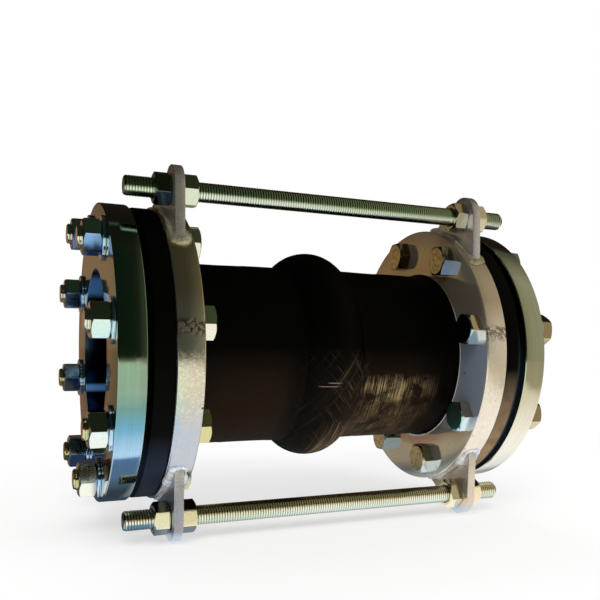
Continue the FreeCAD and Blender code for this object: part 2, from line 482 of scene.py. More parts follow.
def divided(points, longest):
    """The open line with points added so that no step is longer than the given length."""
    result = [points[0]]
    for before, after in zip(points, points[1:]):
        gap = math.dist(before, after)
        steps = max(1, math.ceil(gap / longest))
        for step in range(1, steps + 1):
            share = step / steps
            result.append((before[0] + (after[0] - before[0]) * share,
                           before[1] + (after[1] - before[1]) * share))
    return result


wrap_width = 0.052
wrap_step = 0.00035


def rubber_relief(along, out, turn):
    """The cloth wrap that the body was cured in: overlapped turns and a slight waviness."""
    if out < tube_radius - 0.001 or not inner_station < along < right_face - inner_station:
        return 0
    lap = (along + wrap_width * turn / (2 * math.pi)) / wrap_width
    ramp = lap - math.floor(lap)
    edge = wrap_step * (1 - ramp) * min(1, ramp / 0.04)
    spot = Vector((along * 22, out * math.cos(turn) * 22, out * math.sin(turn) * 22))
    return edge * 0.6 + 0.0004 * noise.noise(spot)


def rubber_body():
    """Tube, bulge and both flanges: one closed wall, drilled through the flanges."""
    step = sealing_station + sealing_face_height
    left_flange = rounded([
        (sealing_station, tube_radius - tube_wall), (sealing_station, sealing_face_radius),
        (step, sealing_face_radius), (step, rubber_rim_radius),
        (backing_station, rubber_rim_radius), (backing_station, tube_radius)],
        (0.001, 0.0005, 0.004, 0.002, 0.002, 0.004))
    right_flange = [(2 * middle - along, out) for along, out in reversed(left_flange)]
    skin = divided([left_flange[-1]] + sphere_points(0) + [right_flange[0]], 0.002)
    bore = divided([left_flange[0]] + sphere_points(tube_wall) + [right_flange[-1]], 0.008)
    profile = left_flange + skin[1:-1] + right_flange + bore[-2:0:-1]
    made = lathed("rubber", profile, segments=256, shift=rubber_relief)
    made = drilled(made, sealing_station, backing_station - sealing_station)
    right_start = right_face - backing_station
    return drilled(made, right_start, backing_station - sealing_station)


# Ears

ear_thickness = inner_rod_nut_start - outer_rod_nut_end
ear_half_base = 0.043
ear_tip_radius = 0.022
ear_hole_radius = 0.010
weld_leg = 0.0045


def ear_outline():
    """The plate's outline as (out, across) points: foot arc, sides and rounded tip."""
    foot = math.sqrt(flange_radius ** 2 - ear_half_base ** 2)
    reach = math.hypot(rod_circle_radius - foot, ear_half_base)
    to_side = math.atan2(ear_half_base, rod_circle_radius - foot)
    touch = math.pi - to_side - math.acos(ear_tip_radius / reach)
    points = []
    half_foot = math.asin(ear_half_base / flange_radius)
    for step in range(17):
        angle = -half_foot + 2 * half_foot * step / 16
        points.append((flange_radius * math.cos(angle), flange_radius * math.sin(angle)))
    for step in range(25):
        angle = touch - 2 * touch * step / 24
        points.append((rod_circle_radius + ear_tip_radius * math.cos(angle),
                       ear_tip_radius * math.sin(angle)))
    return points


def ear_plate():
    """The plate standing out along +Y, its edges slightly rounded, with the rod hole."""
    edge = 0.0007
    shape = bpy.data.curves.new("ear", "CURVE")
    shape.dimensions = "2D"
    shape.fill_mode = "BOTH"
    shape.extrude = ear_thickness / 2 - edge
    shape.bevel_depth = edge
    shape.bevel_resolution = 2
    shape.offset = -edge
    hole = [(rod_circle_radius + ear_hole_radius * math.cos(math.pi * step / 24),
             ear_hole_radius * math.sin(math.pi * step / 24)) for step in range(48)]
    for points in (ear_outline(), hole):
        line = shape.splines.new("POLY")
        line.use_cyclic_u = True
        line.points.add(len(points) - 1)
        for point, (out, across) in zip(line.points, points):
            point.co = (out, across, 0, 1)
    holder = bpy.data.objects.new("ear", shape)
    bpy.context.scene.collection.objects.link(holder)
    bpy.context.view_layer.update()
    mesh = bpy.data.meshes.new_from_object(holder)
    bpy.data.objects.remove(holder)
    across_pipe = Matrix(((0, 0, 1, 0), (1, 0, 0, 0), (0, 1, 0, 0), (0, 0, 0, 1)))
    mesh.transform(Matrix.Translation((outer_rod_nut_end + ear_thickness / 2, 0, 0)) @ across_pipe)
    return finished("ear", mesh, 40.0)


def weld_bead(seed, corner_swell, runs):
    """A lumpy bead all round the plate's foot, swelled or slighter where the welder turned.

    runs are the short heavier runs along the foot: (side, middle, half width), where side is 0
    on the outer side of the plate and 1 on its inner side, and angles are about the pipe.
    """
    half_angle = math.asin(ear_half_base / flange_radius)
    plate_start = outer_rod_nut_end
    plate_end = inner_rod_nut_start
    corner = weld_leg * 0.35
    route = []
    for step in range(61):
        route.append((plate_start - corner, -half_angle + 2 * half_angle * step / 60))
    for step in range(1, 12):
        angle = math.pi * step / 12
        route.append((plate_start + (plate_end - plate_start) * (1 - math.cos(angle)) / 2,
                      half_angle + corner / flange_radius * math.sin(angle)))
    for step in range(61):
        route.append((plate_end + corner, half_angle - 2 * half_angle * step / 60))
    for step in range(1, 12):
        angle = math.pi * step / 12
        route.append((plate_start + (plate_end - plate_start) * (1 + math.cos(angle)) / 2,
                      -half_angle - corner / flange_radius * math.sin(angle)))
    around = 14
    vertices = []
    for index, (along, angle) in enumerate(route):
        centre = Vector((along, flange_radius * math.cos(angle), flange_radius * math.sin(angle)))
        outward = Vector((0, math.cos(angle), math.sin(angle)))
        next_along, next_angle = route[(index + 1) % len(route)]
        last_along, last_angle = route[index - 1]
        tangent = Vector((next_along - last_along, 0, 0))
        tangent += Vector((0, -math.sin(angle), math.cos(angle))) * flange_radius * (
            next_angle - last_angle)
        side = tangent.normalized().cross(outward)
        near_end = max(0.0, 1 - (half_angle - abs(angle)) / 0.06)
        lump = noise.noise(centre * 48 + Vector((seed, 0, 0)))
        swell = 0.66 + corner_swell * near_end + 0.75 * lump + 0.30 * noise.noise(centre * 130)
        if runs:
            inner_side = along > (plate_start + plate_end) / 2
            heavy = max(1 - abs(math.degrees(angle) - spot_angle) / half_width if side_of == inner_side else 0
                        for side_of, spot_angle, half_width in runs)
            swell = 0.34 + 0.50 * lump + 0.85 * max(heavy, 0)
        ripple = 0.00035 * math.sin(index * 1.9)
        size = weld_leg * min(max(0.35, swell), 1.3) + ripple
        for step in range(around):
            swing = 2 * math.pi * step / around
            spot = centre + (outward * math.cos(swing) + side * math.sin(swing)) * size
            spot += outward * 0.0011 * noise.noise(spot * 520 + Vector((0, seed, 0)))
            vertices.append(spot)
    faces = []
    for column in range(len(route)):
        beside = (column + 1) % len(route)
        for row in range(around):
            after = (row + 1) % around
            faces.append((column * around + row, column * around + after,
                          beside * around + after, beside * around + row))
    made = mesh_object("weld", vertices, faces, sharp=80.0)
    for face in made.data.polygons:
        face.material_index = 1
    return made


def ear(name, angle, seed, corner_swell, runs=()):
    made = joined(name, [ear_plate(), weld_bead(seed, corner_swell, runs)])
    return turned(made, angle)


# Materials

class Shader:
    """One node material, built a node at a time."""

    def __init__(self, name):
        self.material = bpy.data.materials.new(name)
        self.material.use_nodes = True
        self.tree = self.material.node_tree
        self.tree.nodes.clear()

    def node(self, kind, sockets=None, **settings):
        made = self.tree.nodes.new("ShaderNode" + kind)
        for key, value in settings.items():
            setattr(made, key, value)
        for socket, value in (sockets or {}).items():
            if isinstance(value, bpy.types.NodeSocket):
                self.tree.links.new(value, made.inputs[socket])
            else:
                made.inputs[socket].default_value = value
        return made

    def math(self, operation, first, second=0.0):
        return self.node("Math", {0: first, 1: second}, operation=operation).outputs[0]

    def place(self):
        """The point on the object, in metres."""
        return self.node("TexCoord").outputs["Object"]

    def parts(self, vector):
        split = self.node("SeparateXYZ", {0: vector})
        return split.outputs[0], split.outputs[1], split.outputs[2]

    def vector(self, x, y, z):
        return self.node("CombineXYZ", {0: x, 1: y, 2: z}).outputs[0]

    def scaled(self, vector, x, y, z):
        return self.node("VectorMath", {0: vector, 1: (x, y, z)}, operation="MULTIPLY").outputs[0]

    def radius(self):
        """Distance from the pipe axis."""
        flat = self.scaled(self.place(), 0, 1, 1)
        return self.node("VectorMath", {0: flat}, operation="LENGTH").outputs["Value"]

    def noise(self, vector, scale, detail=3.0, roughness=0.5, distortion=0.0):
        made = self.node("TexNoise", {
            "Vector": vector, "Scale": scale, "Detail": detail,
            "Roughness": roughness, "Distortion": distortion})
        return made.outputs["Fac"]

    def span(self, value, low, high, to_low=0.0, to_high=1.0):
        made = self.node("MapRange", {
            0: value, 1: low, 2: high, 3: to_low, 4: to_high}, clamp=True)
        return made.outputs[0]

    def ramp(self, value, stops):
        made = self.node("ValToRGB", {0: value})
        band = made.color_ramp
        while len(band.elements) < len(stops):
            band.elements.new(0.5)
        for element, (place, colour) in zip(band.elements, stops):
            element.position = place
            element.color = (*colour, 1)
        return made.outputs[0]

    def mix(self, share, first, second, blend="MIX"):
        made = self.node("Mix", data_type="RGBA", blend_type=blend)
        for socket, value in ((0, share), (6, first), (7, second)):
            if isinstance(value, bpy.types.NodeSocket):
                self.tree.links.new(value, made.inputs[socket])
            elif socket == 0:
                made.inputs[0].default_value = value
            else:
                made.inputs[socket].default_value = (*value, 1)
        return made.outputs[2]

    def bump(self, height, distance, strength=1.0, normal=None):
        sockets = {"Height": height, "Distance": distance, "Strength": strength}
        if normal is not None:
            sockets["Normal"] = normal
        return self.node("Bump", sockets).outputs[0]

    def finish(self, colour, roughness, metallic, normal=None, **extra):
        sockets = {"Base Color": colour, "Roughness": roughness, "Metallic": metallic}
        if normal is not None:
            sockets["Normal"] = normal
        for key, value in extra.items():
            sockets[key.replace("_", " ")] = value
        principled = self.node("BsdfPrincipled", sockets)
        self.node("OutputMaterial", {0: principled.outputs[0]})
        return self.material


def turning_lines(shader, fine, coarse):
    """Fine lines left by the lathe, round the pipe on rims and on faces alike."""
    along, across, up = shader.parts(shader.place())
    out = shader.math("ADD", along, shader.radius())
    vector = shader.vector(
        shader.math("MULTIPLY", out, fine),
        shader.math("MULTIPLY", across, coarse),
        shader.math("MULTIPLY", up, coarse),
    )
    return shader.noise(vector, 1.0, 4.0, 0.65)


def mating_steel(name, painted_reflection_tints):
    """Turned and zinc plated. Its tint changes with height: painted reflections, dark from the room above, pale
    green, teal and blue from the floor below.
    """
    shader = Shader(name)
    place = shader.place()
    up = shader.parts(place)[2]
    lines = turning_lines(shader, 1100, 10)
    smears = shader.noise(shader.scaled(place, 6, 60, 60), 1.0, 3)
    drift = shader.noise(place, 11, 3)
    level = shader.math("ADD", up, shader.math("MULTIPLY", shader.math("SUBTRACT", drift, 0.5), 0.008))
    # Tints by height: painted reflections of the dim room above and the floor below.
    heights = (-0.112, -0.090, -0.080, -0.060, -0.042, -0.030, -0.0015, 0.0005)
    tint = shader.ramp(shader.span(level, -0.14, 0.01), [
        ((height + 0.14) / 0.15, tint) for height, tint in zip(heights, painted_reflection_tints)])
    tint = shader.mix(shader.span(lines, 0.35, 0.65, 0.0, 0.25), tint, (0.20, 0.25, 0.22))
    tint = shader.mix(shader.span(smears, 0.50, 0.68, 0.0, 0.12), tint, (0.66, 0.74, 0.74))
    # Inside the bore: dark navy, painted shade, with two blue bands that are painted reflections of a window, less
    # metallic so that they show.
    inside = shader.span(shader.radius(), pipe_bore_radius + 0.0015, pipe_bore_radius + 0.0005)
    window_band = shader.math("MULTIPLY", shader.span(up, 0.054, 0.060), shader.span(up, 0.078, 0.072))
    second = shader.math("MULTIPLY", shader.span(up, -0.044, -0.041), shader.span(up, -0.034, -0.037))
    painted_window_reflection = shader.math("MULTIPLY", inside, shader.math("MAXIMUM", window_band, second))
    colour = shader.mix(inside, tint, (0.05, 0.09, 0.17))
    colour = shader.mix(painted_window_reflection, colour, (0.07, 0.20, 0.46))
    roughness = shader.math("ADD", shader.span(lines, 0.3, 0.7, 0.05, 0.13),
                            shader.math("MULTIPLY", inside, 0.12))
    return shader.finish(colour, roughness, shader.span(painted_window_reflection, 0.0, 1.0, 1.0, 0.2),
                         shader.bump(lines, 0.00005, 0.4))


def backing_steel(name, tint, lower, painted_dark_above, metal, rim_haze):
    """A thin coat over rolled plate: grain, pits, dark scuffs on the rim and a painted highlight on the bore edge.

    The tint changes downward to the lower one and upward to a darker one, painted reflections of the pale floor
    below and the dim room above; on the front of the face it turns slate, also a painted reflection.
    metal is the share that shines as bare metal does, rim_haze is how much rougher the rim is.
    """
    shader = Shader(name)
    place = shader.place()
    along, across, up = shader.parts(place)
    cloud = shader.noise(place, 24, 4, 0.6)
    grain = shader.noise(place, 900, 3, 0.6)
    fleck = shader.noise(place, 300, 4, 0.75)
    pits = shader.span(shader.noise(place, 230, 2, 0.6), 0.71, 0.76)
    on_rim = shader.span(shader.radius(), flange_radius - 0.003, flange_radius - 0.001)
    front_rim = shader.math("MULTIPLY", shader.span(across, -0.09, -0.11), on_rim)
    scuffed = shader.math("MULTIPLY", shader.span(up, 0.036, 0.032), shader.span(up, 0.018, 0.024))
    scuffs = shader.math("MULTIPLY", shader.math("MULTIPLY", front_rim, scuffed),
                         shader.span(fleck, 0.45, 0.52, 0.0, 0.85))
    speckled = shader.math("MULTIPLY", shader.span(up, 0.016, 0.008), shader.span(up, -0.056, -0.040))
    speckle = shader.math("MULTIPLY", shader.math("MULTIPLY", front_rim, speckled),
                          shader.span(fleck, 0.50, 0.60, 0.0, 0.5))
    # Slate on the front of the face: a painted reflection.
    slate = shader.math("MULTIPLY", shader.span(up, 0.021, 0.017), shader.span(up, -0.082, -0.060))
    slate = shader.math("MULTIPLY", slate, shader.math(
        "MULTIPLY", shader.span(across, -0.05, -0.10), shader.span(on_rim, 1.0, 0.0)))
    # Lower tint below and darker tint above: painted reflections of the floor and the dim room.
    colour = shader.mix(shader.span(up, -0.025, -0.065), tint, lower)
    colour = shader.mix(shader.span(cloud, 0.35, 0.65, 0.0, 0.3), colour, (0.68, 0.66, 0.66))
    colour = shader.mix(shader.span(up, 0.020, 0.060), colour, painted_dark_above)
    colour = shader.mix(slate, colour, (0.27, 0.33, 0.42))
    colour = shader.mix(shader.span(grain, 0.35, 0.65, 0.0, 0.2), colour, (0.34, 0.30, 0.24))
    colour = shader.mix(speckle, colour, (0.98, 0.94, 0.80))
    colour = shader.mix(scuffs, colour, (0.16, 0.10, 0.07))
    colour = shader.mix(pits, colour, (0.05, 0.04, 0.03))
    # A near white ring on the bore edge, brightest low down: a painted highlight.
    bore = tube_radius + 0.001
    painted_bore_highlight = shader.math("MULTIPLY", shader.span(shader.radius(), bore + 0.0023, bore + 0.0017),
                       shader.span(up, 0.065, 0.025, 0.12, 1.0))
    colour = shader.mix(painted_bore_highlight, colour, (0.98, 0.99, 1.0))
    roughness = shader.math("ADD", shader.span(cloud, 0.3, 0.7, 0.05, 0.10),
                            shader.math("MULTIPLY", on_rim, rim_haze))
    roughness = shader.math("ADD", roughness, shader.math("MULTIPLY", painted_bore_highlight, 0.2))
    metallic = shader.math("SUBTRACT", metal, shader.math("MULTIPLY", slate, 0.40))
    metallic = shader.math("SUBTRACT", metallic, shader.math("MULTIPLY", painted_bore_highlight, metal))
    relief = shader.math("ADD", shader.math("MULTIPLY", grain, shader.span(up, 0.03, 0.05, 0.5, 0.12)), shader.math(
        "SUBTRACT", shader.math("MULTIPLY", speckle, 0.5), shader.math("ADD", pits, scuffs)))
    return shader.finish(colour, roughness, metallic, shader.bump(relief, 0.00012, 0.6))


def painted_facet_light(shader, downward, level, upward):
    """Painted light and shade by facing: one tint for facets that face down, one for level ones and one for those
    that face up.
    """
    facing = shader.parts(shader.node("TexCoord").outputs["Normal"])[2]
    return shader.ramp(shader.span(facing, -1.0, 1.0), [
        (0.0, downward), (0.30, downward), (0.40, level), (0.62, level), (0.70, upward)])


def fastener_steel(name, near, far=None, far_side=None, head_tint=None):
    """Bright zinc plating, with painted reflections: its tint changes from facet to facet with the way each facet
    faces.

    near and far are facet tints, painted reflections and shade, and far_side(shader) is where far ones are.
    head_tint is for the faces of the bolt heads at the right end.
    """
    shader = Shader(name)
    colour = painted_facet_light(shader, *near)
    if far:
        colour = shader.mix(far_side(shader), colour, painted_facet_light(shader, *far))
    if head_tint:
        face = right_face - head_end
        along, across, up = shader.parts(shader.place())
        # Right bolt heads: dark brown behind and high up is painted shade, faces darker higher up are painted shade,
        # and teal faces at mid height are a painted reflection of the tube; the marks are wear.
        level = shader.math("MULTIPLY", shader.span(up, 0.065, 0.055), shader.span(up, -0.085, -0.075))
        on_head = shader.span(along, face + 0.0006, face + 0.0003)
        shaded = shader.math("MULTIPLY", shader.span(across, 0.0, 0.01), shader.span(up, 0.08, 0.09))
        colour = shader.mix(shaded, colour, (0.20, 0.14, 0.08))
        marks = shader.noise(shader.place(), 240, 4, 0.7)
        above = tuple(part * 0.76 for part in head_tint)
        lit_tint = shader.mix(shader.span(up, 0.0, 0.06), head_tint, above)
        marked = shader.mix(shader.span(marks, 0.46, 0.60, 0.0, 0.65), lit_tint, (0.26, 0.20, 0.11))
        colour = shader.mix(on_head, colour, shader.mix(level, marked, (0.22, 0.70, 0.85)))
    grain = shader.noise(shader.place(), 1300, 2)
    colour = shader.mix(shader.span(grain, 0.4, 0.7, 0.0, 0.2), colour, (0.40, 0.38, 0.26))
    roughness = shader.span(grain, 0.3, 0.7, 0.08, 0.20)
    return shader.finish(colour, roughness, 1.0, shader.bump(grain, 0.00003, 0.3))


def high_or_behind(shader):
    """1 high up and on the far side of the flange, else 0."""
    along, across, up = shader.parts(shader.place())
    return shader.math("MAXIMUM", shader.span(across, -0.01, 0.01), shader.span(up, 0.07, 0.08))


def high_up(shader):
    return shader.span(shader.parts(shader.place())[2], 0.05, 0.07)


def low_down(shader):
    return shader.span(shader.parts(shader.place())[2], -0.01, -0.03)


def rod_steel(name, angle, painted_reflection_tints, matt):
    """Zinc on a rolled thread, with painted shade in the roots. The tints go from its underside to its top: painted
    reflections, a bright highlight low down from the floor and darker above from the room.

    matt is how much less it shines halfway up, where it is handled.
    """
    shader = Shader(name)
    place = shader.place()
    turn = math.radians(angle)
    axis = (0, rod_circle_radius * math.cos(turn), rod_circle_radius * math.sin(turn))
    offset = shader.node("VectorMath", {0: place, 1: axis}, operation="SUBTRACT").outputs[0]
    offset = shader.scaled(offset, 0, 1, 1)
    out = shader.node("VectorMath", {0: offset}, operation="LENGTH").outputs["Value"]
    level = shader.span(shader.parts(offset)[2], -rod_radius, rod_radius)
    # Tints by height on the rod: painted reflections and highlight.
    shares = (0.03, 0.11, 0.19, 0.32, 0.41, 0.50, 0.70, 0.92)
    colour = shader.ramp(level, list(zip(shares, painted_reflection_tints)))
    cloud = shader.noise(shader.scaled(place, 8, 30, 30), 1, 3)
    colour = shader.mix(shader.span(cloud, 0.38, 0.62, 0.0, 0.7), colour, (0.80, 0.84, 0.72), "MULTIPLY")
    # Thread roots darker, more so higher up: painted shade.
    root_shade = shader.span(out, rod_radius - 0.0002, rod_radius - 0.0006)
    root_shade = shader.math("MULTIPLY", root_shade, shader.span(level, 0.30, 0.50, 0.30, 0.90))
    colour = shader.mix(root_shade, colour, (0.06, 0.06, 0.04))
    handled = shader.math("MULTIPLY", shader.span(level, 0.34, 0.42), shader.span(level, 0.66, 0.54))
    return shader.finish(colour, 0.23, shader.span(handled, 0.0, 1.0, 1.0, 1.0 - matt))


def ear_steel():
    """Flame cut plate under the same coat, lilac grey; browner above and dark at the upper tip, painted shade; cream
    low on the right and pale blue at the lower tip, painted reflections of the floor; darker low on the left,
    painted shade.
    """
    shader = Shader("ear_plate")
    place = shader.place()
    up = shader.parts(place)[2]
    cloud = shader.noise(place, 40, 4, 0.6)
    grain = shader.noise(place, 700, 3, 0.6)
    colour = shader.ramp(cloud, [
        (0.30, (0.40, 0.36, 0.30)), (0.50, (0.64, 0.60, 0.56)), (0.70, (0.66, 0.66, 0.74))])
    along = shader.parts(place)[0]
    # Browner above: painted shade.
    above = shader.mix(shader.span(along, middle - 0.01, middle + 0.01),
                       (0.52, 0.49, 0.38), (0.68, 0.62, 0.64))
    colour = shader.mix(shader.span(up, 0.05, 0.12, 0.0, 0.6), colour, above)
    # Cream low on the right: a painted reflection of the floor; darker low on the left: painted shade.
    low_right = shader.math("MULTIPLY", shader.span(up, -0.09, -0.125, 0.0, 0.65),
                            shader.span(along, middle, middle + 0.02))
    colour = shader.mix(low_right, colour, (0.90, 0.76, 0.60))
    dimmed = shader.math("MULTIPLY", shader.span(up, -0.09, -0.125, 0.0, 0.75),
                         shader.span(along, middle, middle - 0.02))
    colour = shader.mix(dimmed, colour, (0.30, 0.30, 0.37))
    # Dark at the upper tip: painted shade; pale blue at the lower tip: a painted reflection of the floor.
    colour = shader.mix(shader.span(up, 0.150, 0.172, 0.0, 0.75), colour, (0.22, 0.18, 0.13))
    colour = shader.mix(shader.span(up, -0.155, -0.161, 0.0, 0.8), colour, (0.58, 0.74, 0.92))
    colour = shader.mix(shader.span(grain, 0.52, 0.70, 0.0, 0.35), colour, (0.24, 0.22, 0.20))
    roughness = shader.span(grain, 0.3, 0.7, 0.24, 0.40)
    return shader.finish(colour, roughness, 0.86, shader.bump(grain, 0.0002, 0.5))


def weld_steel():
    """Weld metal: brighter than the plate, straw above and blue-white below, painted reflections, the blue-white
    from the pale floor.
    """
    shader = Shader("weld_metal")
    place = shader.place()
    up = shader.parts(place)[2]
    drift = shader.noise(place, 60, 3, 0.6)
    lumps = shader.noise(place, 420, 3, 0.6)
    above = shader.ramp(drift, [
        (0.36, (0.66, 0.62, 0.44)), (0.50, (0.50, 0.45, 0.28)), (0.64, (0.34, 0.30, 0.20))])
    below = shader.ramp(drift, [
        (0.36, (0.60, 0.72, 0.96)), (0.50, (0.90, 0.94, 1.0)), (0.64, (0.70, 0.68, 0.64))])
    # Straw above and blue-white below: painted reflections.
    high = shader.span(up, -0.02, 0.02)
    colour = shader.mix(high, below, above)
    metallic = shader.span(high, 0.0, 1.0, 0.45, 0.80)
    return shader.finish(colour, 0.46, metallic, shader.bump(lumps, 0.0008, 0.8))


def black_rubber():
    """Cloth-wrapped rubber: fine turns round it, crossed cloth lines on the bulge, brown low down from dust and a
    painted sheen, and painted highlights on the bulge's lower right edge.
    """
    shader = Shader("wrapped_rubber")
    place = shader.place()
    along, across, up = shader.parts(place)
    fine = shader.noise(shader.vector(
        shader.math("MULTIPLY", along, 1100),
        shader.math("MULTIPLY", across, 30),
        shader.math("MULTIPLY", up, 30)), 1.0, 4, 0.65)
    patches = shader.noise(place, 16, 4, 0.6, 0.3)
    spots = shader.noise(place, 55, 4, 0.65)
    on_body = shader.span(shader.radius(), tube_radius + 0.020, tube_radius + 0.018)
    off_middle = shader.math("SUBTRACT", along, middle)
    bulge = shader.span(shader.math("ABSOLUTE", off_middle), 0.040, 0.028)
    lower = shader.span(up, 0.01, -0.02)

    crossed = None
    for lean in (0.9, -0.7):
        slant = shader.math("ADD", along, shader.math("MULTIPLY", up, lean))
        cloth = shader.noise(shader.vector(
            shader.math("MULTIPLY", slant, 330),
            shader.math("MULTIPLY", across, 10),
            shader.math("MULTIPLY", shader.math("SUBTRACT", up, along), 14)), 1.0, 3, 0.7)
        line = shader.span(cloth, 0.57, 0.66)
        crossed = shader.math("MAXIMUM", crossed, line) if crossed else line
    lines = shader.math("MULTIPLY", shader.math("MULTIPLY", crossed, lower), shader.math(
        "MULTIPLY", shader.span(off_middle, -0.02, 0.02, 0.25, 1.0),
        shader.math("MULTIPLY", bulge, shader.span(patches, 0.35, 0.60, 0.1, 0.9))))

    ragged = shader.math("ADD", up, shader.math("MULTIPLY", shader.math("SUBTRACT", spots, 0.5), 0.03))
    rubbed = shader.math("MULTIPLY", shader.span(ragged, -0.016, -0.026), shader.span(ragged, -0.052, -0.038))
    rubbed = shader.math("MULTIPLY", rubbed, shader.math(
        "MULTIPLY", shader.span(off_middle, 0.020, 0.045), shader.span(off_middle, 0.125, 0.065)))
    streaked = shader.math("MULTIPLY", shader.span(ragged, -0.03, -0.05), shader.span(off_middle, 0.02, 0.04, 0.0, 0.35))
    streaked = shader.math("MULTIPLY", streaked, shader.span(off_middle, 0.13, 0.08))
    hatch = shader.math("MULTIPLY", shader.math("MAXIMUM", rubbed, streaked), shader.math(
        "MULTIPLY", on_body, shader.math("MULTIPLY", shader.span(spots, 0.38, 0.60), shader.span(fine, 0.42, 0.66))))
    strands = shader.noise(shader.vector(
        shader.math("MULTIPLY", along, 420),
        shader.math("MULTIPLY", across, 14),
        shader.math("MULTIPLY", up, 14)), 1.0, 4, 0.7, 0.4)
    # Bright tan strands on the bulge's lower right edge: a painted highlight.
    edge_highlight = shader.math("MULTIPLY", shader.span(off_middle, -0.014, 0.010),
                             shader.math("MULTIPLY", bulge, shader.span(up, -0.062, -0.092)))
    edge_highlight = shader.math("MULTIPLY", edge_highlight, shader.span(strands, 0.48, 0.66, 0.05, 1.0))
    groove = right_face - sealing_station - sealing_face_height
    right_rim = shader.math("MULTIPLY", shader.span(along, right_face - backing_station - 0.001,
                                                    right_face - backing_station + 0.001),
                            shader.span(on_body, 1.0, 0.0))
    left_rim = shader.math("MULTIPLY", shader.span(along, middle, middle - 0.01),
                           shader.span(on_body, 1.0, 0.0))

    # Brown lower down, strongest towards the ends: a painted sheen, with dust.
    warm = shader.math("MULTIPLY", shader.span(up, 0.01, -0.080), on_body)
    warm = shader.math("MULTIPLY", warm, shader.ramp(shader.span(off_middle, -0.07, 0.07), [
        (0.0, (1, 1, 1)), (0.13, (0.85, 0.85, 0.85)), (0.22, (0.22, 0.22, 0.22)),
        (0.45, (0.20, 0.20, 0.20)), (0.60, (0.75, 0.75, 0.75)), (1.0, (1, 1, 1))]))
    warm = shader.math("MULTIPLY", warm, shader.span(off_middle, 0.125, 0.09, 0.2, 1.0))
    colour = shader.mix(warm, (0.0005, 0.0004, 0.0003), (0.0230, 0.0100, 0.0042))
    colour = shader.mix(edge_highlight, colour, (0.620, 0.400, 0.210))
    colour = shader.mix(lines, colour, (0.085, 0.070, 0.036))
    colour = shader.mix(hatch, colour, (0.580, 0.425, 0.205))
    # Brown lower down on the right flange's rim: dust and a painted sheen of the floor.
    dust_and_sheen = shader.math("MULTIPLY", right_rim, shader.span(up, -0.010, -0.105))
    dust_and_sheen = shader.math("MULTIPLY", dust_and_sheen, shader.span(spots, 0.30, 0.55, 0.6, 1.0))
    colour = shader.mix(dust_and_sheen, colour, (0.40, 0.27, 0.15))
    shaded = shader.math("MULTIPLY", right_rim, shader.span(along, groove - 0.0042, groove - 0.0024))
    shaded = shader.math("MULTIPLY", shaded, shader.span(up, 0.03, -0.02))
    colour = shader.mix(shaded, colour, (0.008, 0.018, 0.030))
    for height, start, end in ((-0.0240, -0.014, 0.001), (-0.0275, -0.022, -0.002)):
        thin = shader.span(shader.math("ABSOLUTE", shader.math("SUBTRACT", up, height)), 0.0005, 0.0001)
        reach = shader.math("MULTIPLY", shader.span(off_middle, start, start + 0.004),
                            shader.span(off_middle, end, end - 0.004))
        scratch = shader.math("MULTIPLY", shader.math("MULTIPLY", thin, reach), shader.span(across, 0.0, -0.01))
        colour = shader.mix(scratch, colour, (0.26, 0.19, 0.16))
    foot = shader.math("MULTIPLY", left_rim, shader.span(up, -0.065, -0.100))
    colour = shader.mix(foot, colour, (0.022, 0.031, 0.056))
    roughness = shader.span(fine, 0.3, 0.7, 0.46, 0.62)
    normal = shader.bump(fine, 0.0003, 0.6)
    return shader.finish(colour, roughness, 0.0, normal, Specular_IOR_Level=0.06)


# Stage

floor_gap = 0.0008
floor_reach = 14.0
soft_light = 0.50
floor_lift = 0.60


def light_path(shader, *kinds):
    """1 for rays of any of the given kinds, else 0."""
    path = shader.node("LightPath")
    seen = path.outputs[kinds[0]]
    for kind in kinds[1:]:
        seen = shader.math("MAXIMUM", seen, path.outputs[kind])
    return seen


